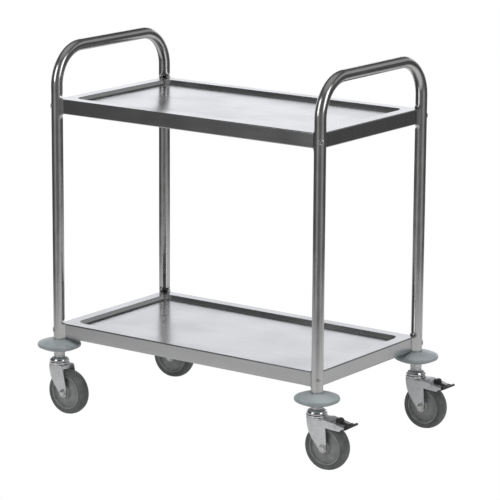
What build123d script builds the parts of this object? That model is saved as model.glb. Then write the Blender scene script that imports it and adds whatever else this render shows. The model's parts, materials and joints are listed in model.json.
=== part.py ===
"""Two-shelf instrument cart: hoop tubes, tray shelves, bolted corners and swivel casters with brakes.

Millimetres, +Z up. X runs along the long side, Y across it. The origin is on the floor, at the middle
of the footprint. Casters trail towards +X; the pair at the +X end has brakes.
"""
from build123d import *
import os

# Frame
leg_spacing_x = 690.0
leg_spacing_y = 380.0
tube_radius = 12.5
tube_wall = 1.2
tube_bottom_z = 135.0
handle_z = 811.0
handle_bend_radius = 80.0

# Shelves
shelf_top_z = {"upper": 702.0, "lower": 202.0}
shelf_height = 32.0
sheet = 1.2
rim_width = 27.0
tray_depth = 8.0
tray_wall_run = 5.0
tray_corner_radius = 18.0
edge_radius = 2.0
hem_width = 12.0

# Corner joints
seat_clearance = 0.05
seat_slope_height = 9.0
bolt_radius = 3.0
bolt_head_radius = 5.6
bolt_head_height = 2.2
bolt_flat_depth = 0.6
bolt_flat_margin = 0.3
bolt_drop = 15.0
bolt_clearance = 0.15
recess_width = 1.3
recess_span = 5.4
recess_depth = 1.1
corner_plate_thickness = 3.0
corner_plate_height = 20.0
corner_plate_reach = 17.0
nut_width = 10.0
nut_thickness = 5.0
bolt_end = 1.5

# Bumpers
bumper_radius = 48.0
bumper_thickness = 25.0
bumper_edge = 9.0
bumper_edge_depth = 3.0
bumper_fit = 0.05
bumper_below_shelf = {"front_left": 16.0, "rear_left": 16.0, "front_right": 22.0, "rear_right": 13.5}
bumper_shoulder_radius = 30.0
bumper_shoulder_top = 9.8
bumper_shoulder_bottom = 10.8

# Caster heads
head_radius = 22.5
upper_race_radius = 21.6
upper_race_height = 10.9
upper_race_edge = 4.4
lower_race_height = 4.4
lower_race_edge = 1.8
race_gap = 0.6
ball_radius = 2.5
ball_pitch_radius = 15.5
ball_clearance = 0.3
ball_count = 12
kingpin_radius = 6.0
kingpin_head_radius = 9.0
kingpin_head_height = 3.0
running_clearance = 0.08
fixed_clearance = 0.05
collar_groove_depth = 1.4
collar_groove_height = 1.8
stem_radius = 5.0
stem_length = 25.0
expander_gap = 0.3

# Forks and wheels
caster_trail = 27.0
wheel_radius = 50.0
fork_sheet = 2.5
fork_inner_width = 35.0
fork_crown_top_z = 111.0
fork_eye_radius = 9.5
fork_front_x = -13.0
fork_rear_x = 33.0
fork_waist_z = 82.0
fork_arm_end_x = 76.5
fork_arm_end_z = 101.5
fork_arm_root_z = 94.0
fork_arm_drop = 10.0
fork_web_end_x = 44.0
fork_bend_radius = 4.0
tyre_width = 28.0
tyre_crown = 2.6
core_radius = 38.0
core_width = 25.0
core_lip = 3.0
channel_depth = 6.5
channel_floor = 3.0
dish_rise = 3.0
hub_radius = 12.5
hub_width = 33.0
bush_radius = 6.0
axle_radius = 4.0
axle_head_width = 13.0
axle_head_height = 5.0
axle_nut_height = 6.5
axle_flange_radius = 8.5
axle_flange_height = 1.4
axle_tail = 2.0

# Brakes
lever_pivot_x = 53.0
lever_pivot_z = 101.6
lever_pin_radius = 2.0
lever_pin_head_radius = 3.4
lever_pin_head_height = 1.4
lever_side_gap = 0.5
lever_sheet = 2.0
lever_start_x = 47.0
lever_end_x = 80.0
lever_boss_radius = 4.2
shoe_start_x = 56.0
shoe_end_x = 61.0
shoe_gap = 2.8
pedal_block_start_x = 50.5
pedal_block_end_x = 63.5
pedal_block_width = 15.0
pedal_block_height = 8.0
pedal_rib_width = 9.0
pedal_rib_height = 2.4
pedal_cover_depth = 4.5
pedal_lip_depth = 5.0
pedal_lip_height = 4.4
pedal_lip_width = 50.0
pedal_edge = 1.2

swivel_angle = {"front_left": -2.0, "rear_left": 5.0, "front_right": 2.0, "rear_right": -1.0}
braked = ("front_right", "rear_right")

# Worked-out values
pedal_reach = lever_end_x + pedal_lip_depth
footprint_shift = (bumper_radius - pedal_reach) / 2
corners = {
    "front_left": (-1, -1),
    "rear_left": (-1, 1),
    "front_right": (1, -1),
    "rear_right": (1, 1),
}
outward_angle = {(-1, -1): 225, (-1, 1): 135, (1, -1): -45, (1, 1): 45}
fork_half_inner = fork_inner_width / 2
fork_half_outer = fork_half_inner + fork_sheet
upper_race_bottom_z = fork_crown_top_z + lower_race_height + race_gap
collar_bottom_z = upper_race_bottom_z + upper_race_height
ball_z = fork_crown_top_z + lower_race_height + race_gap / 2
lever_half_width = fork_half_inner - lever_side_gap
bolt_seat = tube_radius - bolt_flat_depth


def leg_xy(corner):
    """Leg centre of a named corner."""
    sx, sy = corners[corner]
    return sx * leg_spacing_x / 2 + footprint_shift, sy * leg_spacing_y / 2


def save(node, *solids):
    """Write one node; several solids make a group."""
    shape = solids[0] if len(solids) == 1 else Compound(children=list(solids))
    export_step(shape, f"parts/{node}.step")


def cylinder(radius, bottom, top):
    return Pos(0, 0, bottom) * Cylinder(radius, top - bottom, align=(Align.CENTER, Align.CENTER, Align.MIN))


def block(x0, x1, y0, y1, z0, z1):
    return Pos((x0 + x1) / 2, (y0 + y1) / 2, (z0 + z1) / 2) * Box(x1 - x0, y1 - y0, z1 - z0)


def turned(points):
    """Solid of revolution about Z from a closed list of (radius, height) points."""
    return revolve(Plane.XZ * make_face(Polyline(*points, close=True)), Axis.Z)


def across(shape):
    """Turn a shape made along Z so that it lies along Y."""
    return Rot(-90, 0, 0) * shape


def plate_xz(points, y0, y1):
    """Plate with an outline in the XZ plane, from y0 to y1."""
    face = Plane.XZ * make_face(Polyline(*points, close=True))
    return Pos(0, y1, 0) * extrude(face, amount=y1 - y0)


def seat_pocket(grow):
    """The space of one shelf corner inside a tube, with sloping ends, enlarged by grow on each side."""
    size = 2 * tube_radius
    middle = block(-size, grow, -size, grow, -shelf_height - grow, grow)
    slopes = []
    for z, step in ((grow, seat_slope_height), (-shelf_height - grow, -seat_slope_height)):
        low = Pos(-size / 2 + grow / 2, -size / 2 + grow / 2, z) * Rectangle(size + grow, size + grow)
        shrink = tube_radius + grow
        high = Pos(-size / 2 + grow / 2 - shrink, -size / 2 + grow / 2 - shrink, z + step) * Rectangle(
            size + grow, size + grow
        )
        slopes.append(loft([low.face(), high.face()]))
    return middle + slopes[0] + slopes[1]


def hoop(side):
    """One bent tube: two legs and the push handle, with a crimped seat for each shelf corner."""
    half = leg_spacing_y / 2
    path = FilletPolyline(
        (0, -half, tube_bottom_z),
        (0, -half, handle_z),
        (0, half, handle_z),
        (0, half, tube_bottom_z),
        radius=handle_bend_radius,
    )
    start = Plane(origin=(0, -half, tube_bottom_z), z_dir=(0, 0, 1))
    outer = sweep(start * Circle(tube_radius), path)
    inner = sweep(start * Circle(tube_radius - tube_wall), path)
    pocket = seat_pocket(seat_clearance)
    wall_pocket = seat_pocket(seat_clearance + tube_wall)
    for sy in (-1, 1):
        for top in shelf_top_z.values():
            place = Pos(0, sy * half, top)
            facing = Rot(0, 0, outward_angle[(side, sy)] - 45)
            outer -= place * facing * pocket
            inner -= place * facing * wall_pocket
    tube = outer - inner
    hole = Rot(0, 90, 0) * Cylinder(bolt_radius + bolt_clearance, 6 * tube_radius)
    flat = Rot(0, 90, 0) * cylinder(bolt_head_radius + bolt_flat_margin, bolt_seat, tube_radius + 1)
    for sy in (-1, 1):
        for top in shelf_top_z.values():
            tube -= Pos(0, sy * half, top - bolt_drop) * Rot(0, 0, outward_angle[(side, sy)]) * (hole + flat)
    return Pos(side * leg_spacing_x / 2 + footprint_shift, 0, 0) * tube


def rounded_slab(length, width, radius, z):
    return Pos(0, 0, z) * RectangleRounded(length, width, radius)


def tray_void(inset, floor_z):
    """The recess of the tray: straight-sided loft from the rim opening to the floor."""
    length = leg_spacing_x - 2 * (rim_width + inset)
    width = leg_spacing_y - 2 * (rim_width + inset)
    top = rounded_slab(length, width, tray_corner_radius, 0)
    bottom = rounded_slab(
        length - 2 * tray_wall_run, width - 2 * tray_wall_run, tray_corner_radius - tray_wall_run, floor_z
    )
    return loft([bottom.face(), top.face()])


def shelf(top_z):
    """Pressed tray: rim, sloping inner wall, recessed floor, fascia and a folded hem below."""
    half_x = leg_spacing_x / 2
    half_y = leg_spacing_y / 2
    outer = block(-half_x, half_x, -half_y, half_y, -shelf_height, 0)
    upright = outer.edges().filter_by(Axis.Z)
    outer = fillet(upright, sheet)
    outer = fillet(outer.faces().sort_by(Axis.Z)[-1].edges(), edge_radius)
    under = block(
        -half_x + sheet, half_x - sheet, -half_y + sheet, half_y - sheet, -shelf_height + sheet, -sheet
    )
    under -= tray_void(-sheet, -tray_depth - sheet)
    opening = block(
        -half_x + hem_width, half_x - hem_width, -half_y + hem_width, half_y - hem_width,
        -shelf_height - 1, -shelf_height + sheet,
    )
    body = outer - under - tray_void(0, -tray_depth) - opening
    for sx, sy in corners.values():
        hole = Rot(0, 90, 0) * Cylinder(bolt_radius + bolt_clearance, 60)
        body -= Pos(sx * half_x, sy * half_y, -bolt_drop) * Rot(0, 0, 45 * sx * sy) * hole
    return Pos(footprint_shift, 0, top_z) * body


def corner_frame(corner, top_z):
    """Place whose +X runs outwards along the diagonal of a shelf corner, at bolt height."""
    x, y = leg_xy(corner)
    return Pos(x, y, top_z - bolt_drop) * Rot(0, 0, outward_angle[corners[corner]])


def corner_plate():
    """Plate across the inside of a shelf corner, at 45 degrees, which the bolt pulls against."""
    half = corner_plate_height / 2
    width = 2 * (corner_plate_reach + corner_plate_thickness)
    plate = block(
        -corner_plate_reach - corner_plate_thickness, -corner_plate_reach, -width / 2, width / 2, -half, half
    )
    inside = -sheet - fixed_clearance
    plate &= Rot(0, 0, -45) * block(-width, inside, -width, inside, -half, half)
    return plate - Rot(0, 90, 0) * Cylinder(bolt_radius + bolt_clearance, 80)


def bolt():
    """Pan-head bolt with a cross recess, lying along X with its head outwards."""
    tip = -corner_plate_reach - corner_plate_thickness - nut_thickness - bolt_end
    shank = Rot(0, 90, 0) * cylinder(bolt_radius, tip, bolt_seat)
    head = Rot(0, 90, 0) * cylinder(bolt_head_radius, bolt_seat, bolt_seat + bolt_head_height)
    head = fillet(head.faces().sort_by(Axis.X)[-1].edges(), 0.7 * bolt_head_height)
    body = head + shank
    top = bolt_seat + bolt_head_height
    for turn in (0, 90):
        slot = block(top - recess_depth, top + 1, -recess_span / 2, recess_span / 2, -recess_width / 2,
                     recess_width / 2)
        body -= Rot(turn, 0, 0) * slot
    return body


def nut():
    """Hexagon nut against the inner face of the corner plate."""
    back = -corner_plate_reach - corner_plate_thickness
    hexagon = extrude(RegularPolygon(nut_width / 2, 6, major_radius=False), amount=nut_thickness)
    hexagon -= Cylinder(bolt_radius + fixed_clearance, 4 * nut_thickness)
    return Pos(back, 0, 0) * Rot(0, -90, 0) * hexagon


def bumper(corner):
    """Soft disc on the leg, with a rounded rim and fuller towards the middle."""
    centre = shelf_top_z["lower"] - shelf_height - bumper_below_shelf[corner]
    half = bumper_thickness / 2
    edge = bumper_edge / 2
    bore = tube_radius + bumper_fit
    rim_start = bumper_radius - bumper_edge_depth
    profile = (
        Line((bore, -half), (bore, half))
        + ThreePointArc((bore, half), (bumper_shoulder_radius, bumper_shoulder_top), (rim_start, edge))
        + ThreePointArc((rim_start, edge), (bumper_radius, 0), (rim_start, -edge))
        + ThreePointArc((rim_start, -edge), (bumper_shoulder_radius, -bumper_shoulder_bottom), (bore, -half))
    )
    disc = revolve(Plane.XZ * make_face(profile), Axis.Z)
    return Pos(*leg_xy(corner), centre) * disc


def stem():
    """Collar that meets the tube end, the stem above it, and the kingpin riveted under the fork."""
    groove = tube_radius - collar_groove_depth
    middle = (collar_bottom_z + tube_bottom_z) / 2
    under_crown = fork_crown_top_z - fork_sheet
    points = [
        (0, under_crown - kingpin_head_height),
        (kingpin_head_radius - 1, under_crown - kingpin_head_height),
        (kingpin_head_radius, under_crown - kingpin_head_height + 1),
        (kingpin_head_radius, under_crown - race_gap / 2),
        (kingpin_radius, under_crown - race_gap / 2),
        (kingpin_radius, collar_bottom_z),
        (tube_radius, collar_bottom_z),
        (tube_radius, middle - collar_groove_height / 2),
        (groove, middle - collar_groove_height / 2),
        (groove, middle + collar_groove_height / 2),
        (tube_radius, middle + collar_groove_height / 2),
        (tube_radius, tube_bottom_z),
        (stem_radius, tube_bottom_z),
        (stem_radius, tube_bottom_z + stem_length),
        (0, tube_bottom_z + stem_length),
    ]
    return turned(points)


def expander():
    """Sleeve on the stem that grips the inside of the tube."""
    outer = tube_radius - tube_wall - bumper_fit
    sleeve = cylinder(outer, tube_bottom_z + expander_gap, tube_bottom_z + stem_length)
    return sleeve - cylinder(stem_radius + fixed_clearance, tube_bottom_z - 1, tube_bottom_z + stem_length + 1)


def ball_groove():
    return Pos(0, 0, ball_z) * Torus(ball_pitch_radius, ball_radius + ball_clearance)


def upper_race():
    """Pressed cup fixed to the stem, rounded over at its top, with the upper half of the ball groove."""
    cup = cylinder(upper_race_radius, upper_race_bottom_z, collar_bottom_z)
    cup = fillet(cup.faces().sort_by(Axis.Z)[-1].edges(), upper_race_edge)
    bore = cylinder(kingpin_radius + fixed_clearance, upper_race_bottom_z - 1, collar_bottom_z + 1)
    return cup - bore - ball_groove()


def lower_race():
    """Pressed ring that turns with the fork, with the lower half of the ball groove."""
    top = fork_crown_top_z + lower_race_height
    ring = cylinder(head_radius, fork_crown_top_z, top)
    ring = fillet(ring.faces().sort_by(Axis.Z)[0].edges(), lower_race_edge)
    return ring - cylinder(kingpin_radius + running_clearance, fork_crown_top_z - 1, top + 1) - ball_groove()


def balls():
    """The ring of balls between the races."""
    return [
        Rot(0, 0, 360 * i / ball_count) * Pos(ball_pitch_radius, 0, ball_z) * Sphere(ball_radius)
        for i in range(ball_count)
    ]


def fork_outline(with_brake):
    """Outline of one fork cheek in the wheel's plane, as a face."""
    crown = fork_crown_top_z
    eye = fork_eye_radius
    x = caster_trail
    z = wheel_radius
    front = Spline(
        (fork_front_x, crown),
        (fork_front_x + 0.6, crown - 10),
        (fork_front_x + 5.5, fork_waist_z),
        (x - eye * 0.80, z - eye * 0.60),
        tangents=[(0, -1), (0.60, -0.80)],
    )
    foot = ThreePointArc(front @ 1, (x, z - eye), (x + eye * 0.87, z - eye * 0.5))
    if with_brake:
        rear = Polyline(
            foot @ 1,
            (x + eye * 0.87, z + eye * 0.8),
            (fork_rear_x, fork_arm_root_z),
            (fork_arm_end_x - fork_arm_drop, fork_arm_root_z - 2),
            (fork_arm_end_x, fork_arm_end_z),
            (fork_rear_x - 1, crown),
            (fork_front_x, crown),
        )
    else:
        rear = Line(foot @ 1, (x + eye * 0.87, z + eye * 0.8)) + Spline(
            (x + eye * 0.87, z + eye * 0.8),
            (fork_rear_x - 2.5, fork_waist_z),
            (fork_rear_x - 10, crown),
            tangents=[(-0.05, 1), (-0.5, 0.87)],
        )
        rear += Line((fork_rear_x - 10, crown), (fork_front_x, crown))
    return make_face(front + foot + rear)


def fork(with_brake):
    """Pressed fork: two cheeks joined by a crown under the swivel head."""
    outline = extrude(Plane.XZ * fork_outline(with_brake), amount=fork_half_outer, both=True)
    shoulders = outline.faces().sort_by(Axis.Z)[-1].edges().filter_by(Axis.X)
    outline = fillet(shoulders, fork_bend_radius)
    hollow = block(
        fork_front_x - 30, fork_arm_end_x + 10, -fork_half_inner, fork_half_inner, 0,
        fork_crown_top_z - fork_sheet,
    )
    body = outline - hollow
    body += cylinder(head_radius - 0.5, fork_crown_top_z - fork_sheet, fork_crown_top_z)
    if with_brake:
        slope = (fork_crown_top_z - fork_arm_end_z) / (fork_arm_end_x - fork_rear_x + 1)
        web_end_z = fork_crown_top_z - slope * (fork_web_end_x - fork_rear_x + 1)
        web = plate_xz(
            [
                (fork_rear_x - 8, fork_crown_top_z),
                (fork_rear_x - 1, fork_crown_top_z),
                (fork_web_end_x, web_end_z),
                (fork_web_end_x, web_end_z - fork_sheet),
                (fork_rear_x - 1, fork_crown_top_z - fork_sheet),
                (fork_rear_x - 8, fork_crown_top_z - fork_sheet),
            ],
            -fork_half_outer,
            fork_half_outer,
        )
        body += web
        pin_hole = Pos(lever_pivot_x, 0, lever_pivot_z) * across(
            Cylinder(lever_pin_radius + fixed_clearance, 3 * fork_inner_width)
        )
        body -= pin_hole
    axle_hole = across(Cylinder(axle_radius + fixed_clearance, 3 * fork_inner_width))
    body -= Pos(caster_trail, 0, wheel_radius) * axle_hole
    return body - cylinder(kingpin_radius + running_clearance, 0, 2 * fork_crown_top_z)


def flanged_hexagon(height):
    """Hexagon with a round flange at its foot, standing on the XY plane."""
    hexagon = extrude(RegularPolygon(axle_head_width / 2, 6, major_radius=False), amount=height)
    return hexagon + cylinder(axle_flange_radius, 0, axle_flange_height)


def axle_bolt():
    """Axle bolt, head outside the -Y cheek and thread past the nut on the +Y side."""
    head = Pos(0, 0, -fork_half_outer) * Rot(180, 0, 0) * flanged_hexagon(axle_head_height)
    shank = cylinder(axle_radius, -fork_half_outer, fork_half_outer + axle_nut_height + axle_tail)
    return across(head + shank)


def axle_nut():
    body = Pos(0, 0, fork_half_outer) * flanged_hexagon(axle_nut_height)
    return across(body - Cylinder(axle_radius + fixed_clearance, 6 * fork_half_outer))


def axle_bush():
    """Steel bush clamped between the cheeks; the hub turns on it."""
    bush = Cylinder(bush_radius, fork_inner_width) - Cylinder(axle_radius + fixed_clearance, 2 * fork_inner_width)
    return across(bush)


def wheel_core():
    """Moulded wheel centre: rim lip, a channel inside it, a shallow dish and a long hub."""
    half = core_width / 2
    hub = hub_width / 2
    low = half - channel_depth
    bore = bush_radius + running_clearance
    lip = core_radius - core_lip
    upper_side = [
        (core_radius, half),
        (lip, half),
        (lip - 1.5, low),
        (lip - 1.5 - channel_floor, low),
        (hub_radius + 1.5, low + dish_rise),
        (hub_radius, hub - 1.5),
        (hub_radius - 1.5, hub),
        (bore, hub),
    ]
    lower_side = [(r, -h) for r, h in reversed(upper_side)]
    return across(turned(upper_side + lower_side))


def tyre():
    """Rubber tyre with a crowned tread and rounded shoulders."""
    half = tyre_width / 2
    inner = core_radius
    shoulder = wheel_radius - tyre_crown
    profile = (
        Line((inner, -core_width / 2), (inner, core_width / 2))
        + ThreePointArc((inner, core_width / 2), (inner + 5.5, half), (shoulder - 1, half - 2.2))
        + ThreePointArc((shoulder - 1, half - 2.2), (wheel_radius, 0), (shoulder - 1, -half + 2.2))
        + ThreePointArc((shoulder - 1, -half + 2.2), (inner + 5.5, -half), (inner, -core_width / 2))
    )
    return across(revolve(Plane.XZ * make_face(profile), Axis.Z))


def arm_top_z(x):
    """Height of the sloping top edge of a fork arm."""
    run = fork_arm_end_x - fork_rear_x + 1
    return fork_crown_top_z - (x - fork_rear_x + 1) * (fork_crown_top_z - fork_arm_end_z) / run


def lever():
    """Sheet lever between the arms: pivot bosses, a shoe above the tread and a pedal plate."""
    top = arm_top_z(lever_start_x)
    end = arm_top_z(lever_end_x)
    plate = plate_xz(
        [
            (lever_start_x, top),
            (lever_end_x, end),
            (lever_end_x, end - lever_sheet),
            (lever_start_x, top - lever_sheet),
        ],
        -lever_half_width,
        lever_half_width,
    )
    tread_z = wheel_radius + (wheel_radius**2 - (shoe_start_x - caster_trail) ** 2) ** 0.5
    shoe = plate_xz(
        [
            (shoe_start_x, arm_top_z(shoe_start_x) - lever_sheet / 2),
            (shoe_end_x, arm_top_z(shoe_end_x) - lever_sheet / 2),
            (shoe_end_x, tread_z + shoe_gap - 1),
            (shoe_start_x, tread_z + shoe_gap),
        ],
        -pedal_block_width / 2,
        pedal_block_width / 2,
    )
    body = plate + shoe
    for side in (-1, 1):
        y1 = side * lever_half_width
        y0 = side * (lever_half_width - lever_sheet)
        boss = Pos(lever_pivot_x, (y0 + y1) / 2, lever_pivot_z) * across(Cylinder(lever_boss_radius, lever_sheet))
        neck = block(
            lever_pivot_x - lever_boss_radius, lever_pivot_x + lever_boss_radius, min(y0, y1), max(y0, y1),
            lever_pivot_z, arm_top_z(lever_pivot_x + lever_boss_radius) - lever_sheet / 2,
        )
        body += boss + neck
    hole = across(Cylinder(lever_pin_radius + running_clearance, 3 * fork_inner_width))
    return body - Pos(lever_pivot_x, 0, lever_pivot_z) * hole


def pedal_strip(start_x, width):
    """Strip of the cap on the lever plate, from start_x to the plate's end."""
    return plate_xz(
        [
            (start_x, arm_top_z(start_x)),
            (lever_end_x, arm_top_z(lever_end_x)),
            (lever_end_x, arm_top_z(lever_end_x) + pedal_rib_height),
            (start_x, arm_top_z(start_x) + pedal_rib_height),
        ],
        -width / 2,
        width / 2,
    )


def pedal_cap():
    """Moulded cap on the lever: release block, a rib, a cover on the plate's end and the wide foot lip."""
    block_top = arm_top_z(pedal_block_start_x) + pedal_block_height
    release = plate_xz(
        [
            (pedal_block_start_x, arm_top_z(pedal_block_start_x)),
            (pedal_block_end_x, arm_top_z(pedal_block_end_x)),
            (pedal_block_end_x - 1.5, block_top - 2.5),
            (pedal_block_end_x - 4.5, block_top),
            (pedal_block_start_x + 2, block_top),
        ],
        -pedal_block_width / 2,
        pedal_block_width / 2,
    )
    rib = pedal_strip(pedal_block_end_x - 4, pedal_rib_width)
    cover = pedal_strip(lever_end_x - pedal_cover_depth, 2 * lever_half_width)
    lip_top = arm_top_z(lever_end_x) + pedal_rib_height
    lip = block(
        lever_end_x, lever_end_x + pedal_lip_depth, -pedal_lip_width / 2, pedal_lip_width / 2,
        lip_top - pedal_lip_height, lip_top,
    )
    lip = fillet(lip.edges().filter_by(Axis.Y), pedal_edge)
    return release + rib + cover + lip


def lever_pin():
    """Rivet through both arms, which the lever turns on."""
    half = fork_half_outer
    points = [
        (0, -half - lever_pin_head_height),
        (lever_pin_head_radius, -half - lever_pin_head_height),
        (lever_pin_head_radius, -half),
        (lever_pin_radius, -half),
        (lever_pin_radius, half),
        (lever_pin_head_radius, half),
        (lever_pin_head_radius, half + lever_pin_head_height),
        (0, half + lever_pin_head_height),
    ]
    return across(turned(points))


os.makedirs("parts", exist_ok=True)

save("hoop_left", hoop(-1))
save("hoop_right", hoop(1))
for level, top_z in shelf_top_z.items():
    save(f"{level}_shelf", shelf(top_z))

joints = [corner_frame(corner, top_z) for corner in corners for top_z in shelf_top_z.values()]
save("shelf_bolts", *[place * bolt() for place in joints])
save("shelf_nuts", *[place * nut() for place in joints])
save("corner_plates", *[place * corner_plate() for place in joints])

all_balls = []
for corner in corners:
    head = Pos(*leg_xy(corner), 0)
    swivel = head * Rot(0, 0, swivel_angle[corner])
    axle = swivel * Pos(caster_trail, 0, wheel_radius)
    with_brake = corner in braked
    save(f"bumper_{corner}", bumper(corner))
    save(f"stem_{corner}", head * stem())
    save(f"expander_{corner}", head * expander())
    save(f"upper_race_{corner}", head * upper_race())
    save(f"lower_race_{corner}", swivel * lower_race())
    save(f"fork_{corner}", swivel * fork(with_brake))
    save(f"axle_bolt_{corner}", axle * axle_bolt())
    save(f"axle_nut_{corner}", axle * axle_nut())
    save(f"axle_bush_{corner}", axle * axle_bush())
    save(f"wheel_core_{corner}", axle * wheel_core())
    save(f"tyre_{corner}", axle * tyre())
    if with_brake:
        save(f"brake_lever_{corner}", swivel * lever())
        save(f"pedal_cap_{corner}", swivel * pedal_cap())
        save(f"lever_pin_{corner}", swivel * Pos(lever_pivot_x, 0, lever_pivot_z) * lever_pin())
    all_balls += [head * ball for ball in balls()]
save("swivel_balls", *all_balls)
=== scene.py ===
import json
import math
import bmesh
import bpy
from mathutils import Matrix, Vector


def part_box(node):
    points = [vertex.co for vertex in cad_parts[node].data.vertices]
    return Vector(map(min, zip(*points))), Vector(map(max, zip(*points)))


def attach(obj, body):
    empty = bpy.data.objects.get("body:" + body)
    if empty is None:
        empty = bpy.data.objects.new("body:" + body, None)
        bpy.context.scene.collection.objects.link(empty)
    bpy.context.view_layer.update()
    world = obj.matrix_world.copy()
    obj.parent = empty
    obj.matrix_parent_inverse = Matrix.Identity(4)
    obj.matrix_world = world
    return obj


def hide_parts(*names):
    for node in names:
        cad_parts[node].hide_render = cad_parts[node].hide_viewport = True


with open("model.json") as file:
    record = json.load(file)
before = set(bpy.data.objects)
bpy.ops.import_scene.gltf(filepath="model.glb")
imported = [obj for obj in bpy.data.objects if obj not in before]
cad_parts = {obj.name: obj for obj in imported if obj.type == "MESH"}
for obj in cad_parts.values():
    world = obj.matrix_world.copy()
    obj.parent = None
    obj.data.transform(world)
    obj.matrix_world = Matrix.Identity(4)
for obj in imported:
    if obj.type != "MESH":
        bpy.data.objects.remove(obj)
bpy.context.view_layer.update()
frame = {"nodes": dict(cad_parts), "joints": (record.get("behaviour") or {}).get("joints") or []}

joints = {joint["name"]: joint for joint in frame["joints"]}
corners = ("front_left", "rear_left", "front_right", "rear_right")
braked = ("front_right", "rear_right")
mm = 0.001


def boxOf(node):
    low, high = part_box(node)
    return Vector(low), Vector(high)


def addNode(tree, kind, settings=None, inputs=None, output=0):
    # works for shader trees and for geometry trees
    node = tree.nodes.new(kind)
    for key, value in (settings or {}).items():
        setattr(node, key, value)
    for key, value in (inputs or {}).items():
        socket = node.inputs[key]
        if isinstance(value, Wire):
            tree.links.new(value.socket, socket)
        else:
            socket.default_value = value
    return Wire(tree, node.outputs[output])


class Wire:
    # a socket that can stand in a Python expression
    def __init__(self, tree, socket):
        self.tree = tree
        self.socket = socket

    def math(self, operation, *values):
        return addNode(self.tree, "ShaderNodeMath", {"operation": operation}, dict(enumerate(values)))

    def __add__(self, other):
        return self.math("ADD", self, other)

    def __radd__(self, other):
        return self.math("ADD", other, self)

    def __sub__(self, other):
        return self.math("SUBTRACT", self, other)

    def __rsub__(self, other):
        return self.math("SUBTRACT", other, self)

    def __mul__(self, other):
        return self.math("MULTIPLY", self, other)

    def __truediv__(self, other):
        return self.math("DIVIDE", self, other)

    def __gt__(self, other):
        return self.math("GREATER_THAN", self, other)

    def __lt__(self, other):
        return self.math("LESS_THAN", self, other)

    def __abs__(self):
        return self.math("ABSOLUTE", self)

    def atLeast(self, other):
        return self.math("MAXIMUM", self, other)

    def atMost(self, other):
        return self.math("MINIMUM", self, other)

    def power(self, other):
        return self.math("POWER", self, other)

    def step(self, low, high, outLow=0.0, outHigh=1.0):
        # smooth change from outLow at low to outHigh at high
        return addNode(self.tree, "ShaderNodeMapRange", {"interpolation_type": "SMOOTHSTEP"},
                       {"Value": self, 1: low, 2: high, 3: outLow, 4: outHigh})

    def vector(self, operation, other):
        return addNode(self.tree, "ShaderNodeVectorMath", {"operation": operation}, {0: self, 1: other})

    def parts(self):
        split = addNode(self.tree, "ShaderNodeSeparateXYZ", None, {0: self})
        outputs = split.socket.node.outputs
        return [Wire(self.tree, outputs[i]) for i in range(3)]


def joined(tree, x, y, z):
    return addNode(tree, "ShaderNodeCombineXYZ", None, {0: x, 1: y, 2: z})


def mixColour(tree, factor, first, second):
    return addNode(tree, "ShaderNodeMix", {"data_type": "RGBA"}, {0: factor, 6: first, 7: second}, 2)


def rgb(red, green, blue):
    return (red, green, blue, 1.0)


class Finish:
    # one material, with a Principled shader at its end
    def __init__(self, name, fixed):
        self.material = bpy.data.materials.new(name)
        self.material.use_nodes = True
        self.tree = self.material.node_tree
        self.tree.nodes.clear()
        self.shader = self.tree.nodes.new("ShaderNodeBsdfPrincipled")
        end = self.tree.nodes.new("ShaderNodeOutputMaterial")
        self.tree.links.new(self.shader.outputs[0], end.inputs["Surface"])
        for key, value in fixed.items():
            self.shader.inputs[key].default_value = value

    def place(self):
        return addNode(self.tree, "ShaderNodeTexCoord", None, None, "Object")

    def attribute(self, name, output="Fac"):
        return addNode(self.tree, "ShaderNodeAttribute", {"attribute_name": name}, None, output)

    def noise(self, where, scale, detail=3.0, rough=0.55, stretch=(1, 1, 1)):
        where = where.vector("MULTIPLY", stretch) if stretch != (1, 1, 1) else where
        return addNode(self.tree, "ShaderNodeTexNoise", None,
                       {"Vector": where, "Scale": scale, "Detail": detail, "Roughness": rough}, "Fac")

    def bump(self, height, strength, distance):
        return addNode(self.tree, "ShaderNodeBump", None,
                       {"Height": height, "Strength": strength, "Distance": distance})

    def feed(self, **links):
        names = {"colour": "Base Color", "roughness": "Roughness", "normal": "Normal"}
        for key, wire in links.items():
            self.tree.links.new(wire.socket, self.shader.inputs[names[key]])
        return self.material


tubeLook = {
    "dark": rgb(0.510, 0.508, 0.505), "light": rgb(0.605, 0.602, 0.598), "rough": (0.16, 0.25),
    "lines": 26, "patches": 1.6, "bump": 0.06,
}
sheetLook = {
    "dark": rgb(0.465, 0.467, 0.473), "light": rgb(0.522, 0.524, 0.530), "rough": (0.17, 0.26),
    "fine": (18, 1400, 1), "broad": (5, 90, 1), "cloud": 7.0, "wave": 4.5, "brushHeight": 0.012,
    "bump": 0.14,
}
zincLook = {
    "dark": rgb(0.644, 0.650, 0.658), "light": rgb(0.759, 0.765, 0.773), "rough": (0.36, 0.50),
    "grain": 900, "cloud": 160, "bump": 0.10,
}
chromeLook = {
    "dark": rgb(0.55, 0.55, 0.56), "light": rgb(0.80, 0.80, 0.81), "rough": (0.05, 0.12),
    "grain": 500, "cloud": 90, "bump": 0.03,
}
boltLook = {
    "dark": rgb(0.50, 0.50, 0.49), "light": rgb(0.74, 0.74, 0.73), "rough": (0.18, 0.34),
    "grain": 1200, "cloud": 240, "bump": 0.06,
}
bumperLook = {
    "dark": rgb(0.308, 0.347, 0.361), "light": rgb(0.385, 0.427, 0.440), "rough": (0.34, 0.50),
    "grain": 420, "cloud": 34, "bump": 0.10,
}
wheelLook = {
    "dark": rgb(0.246, 0.252, 0.249), "light": rgb(0.336, 0.345, 0.339), "rough": (0.30, 0.44),
    "grain": 700, "cloud": 60, "bump": 0.10,
}
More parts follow.
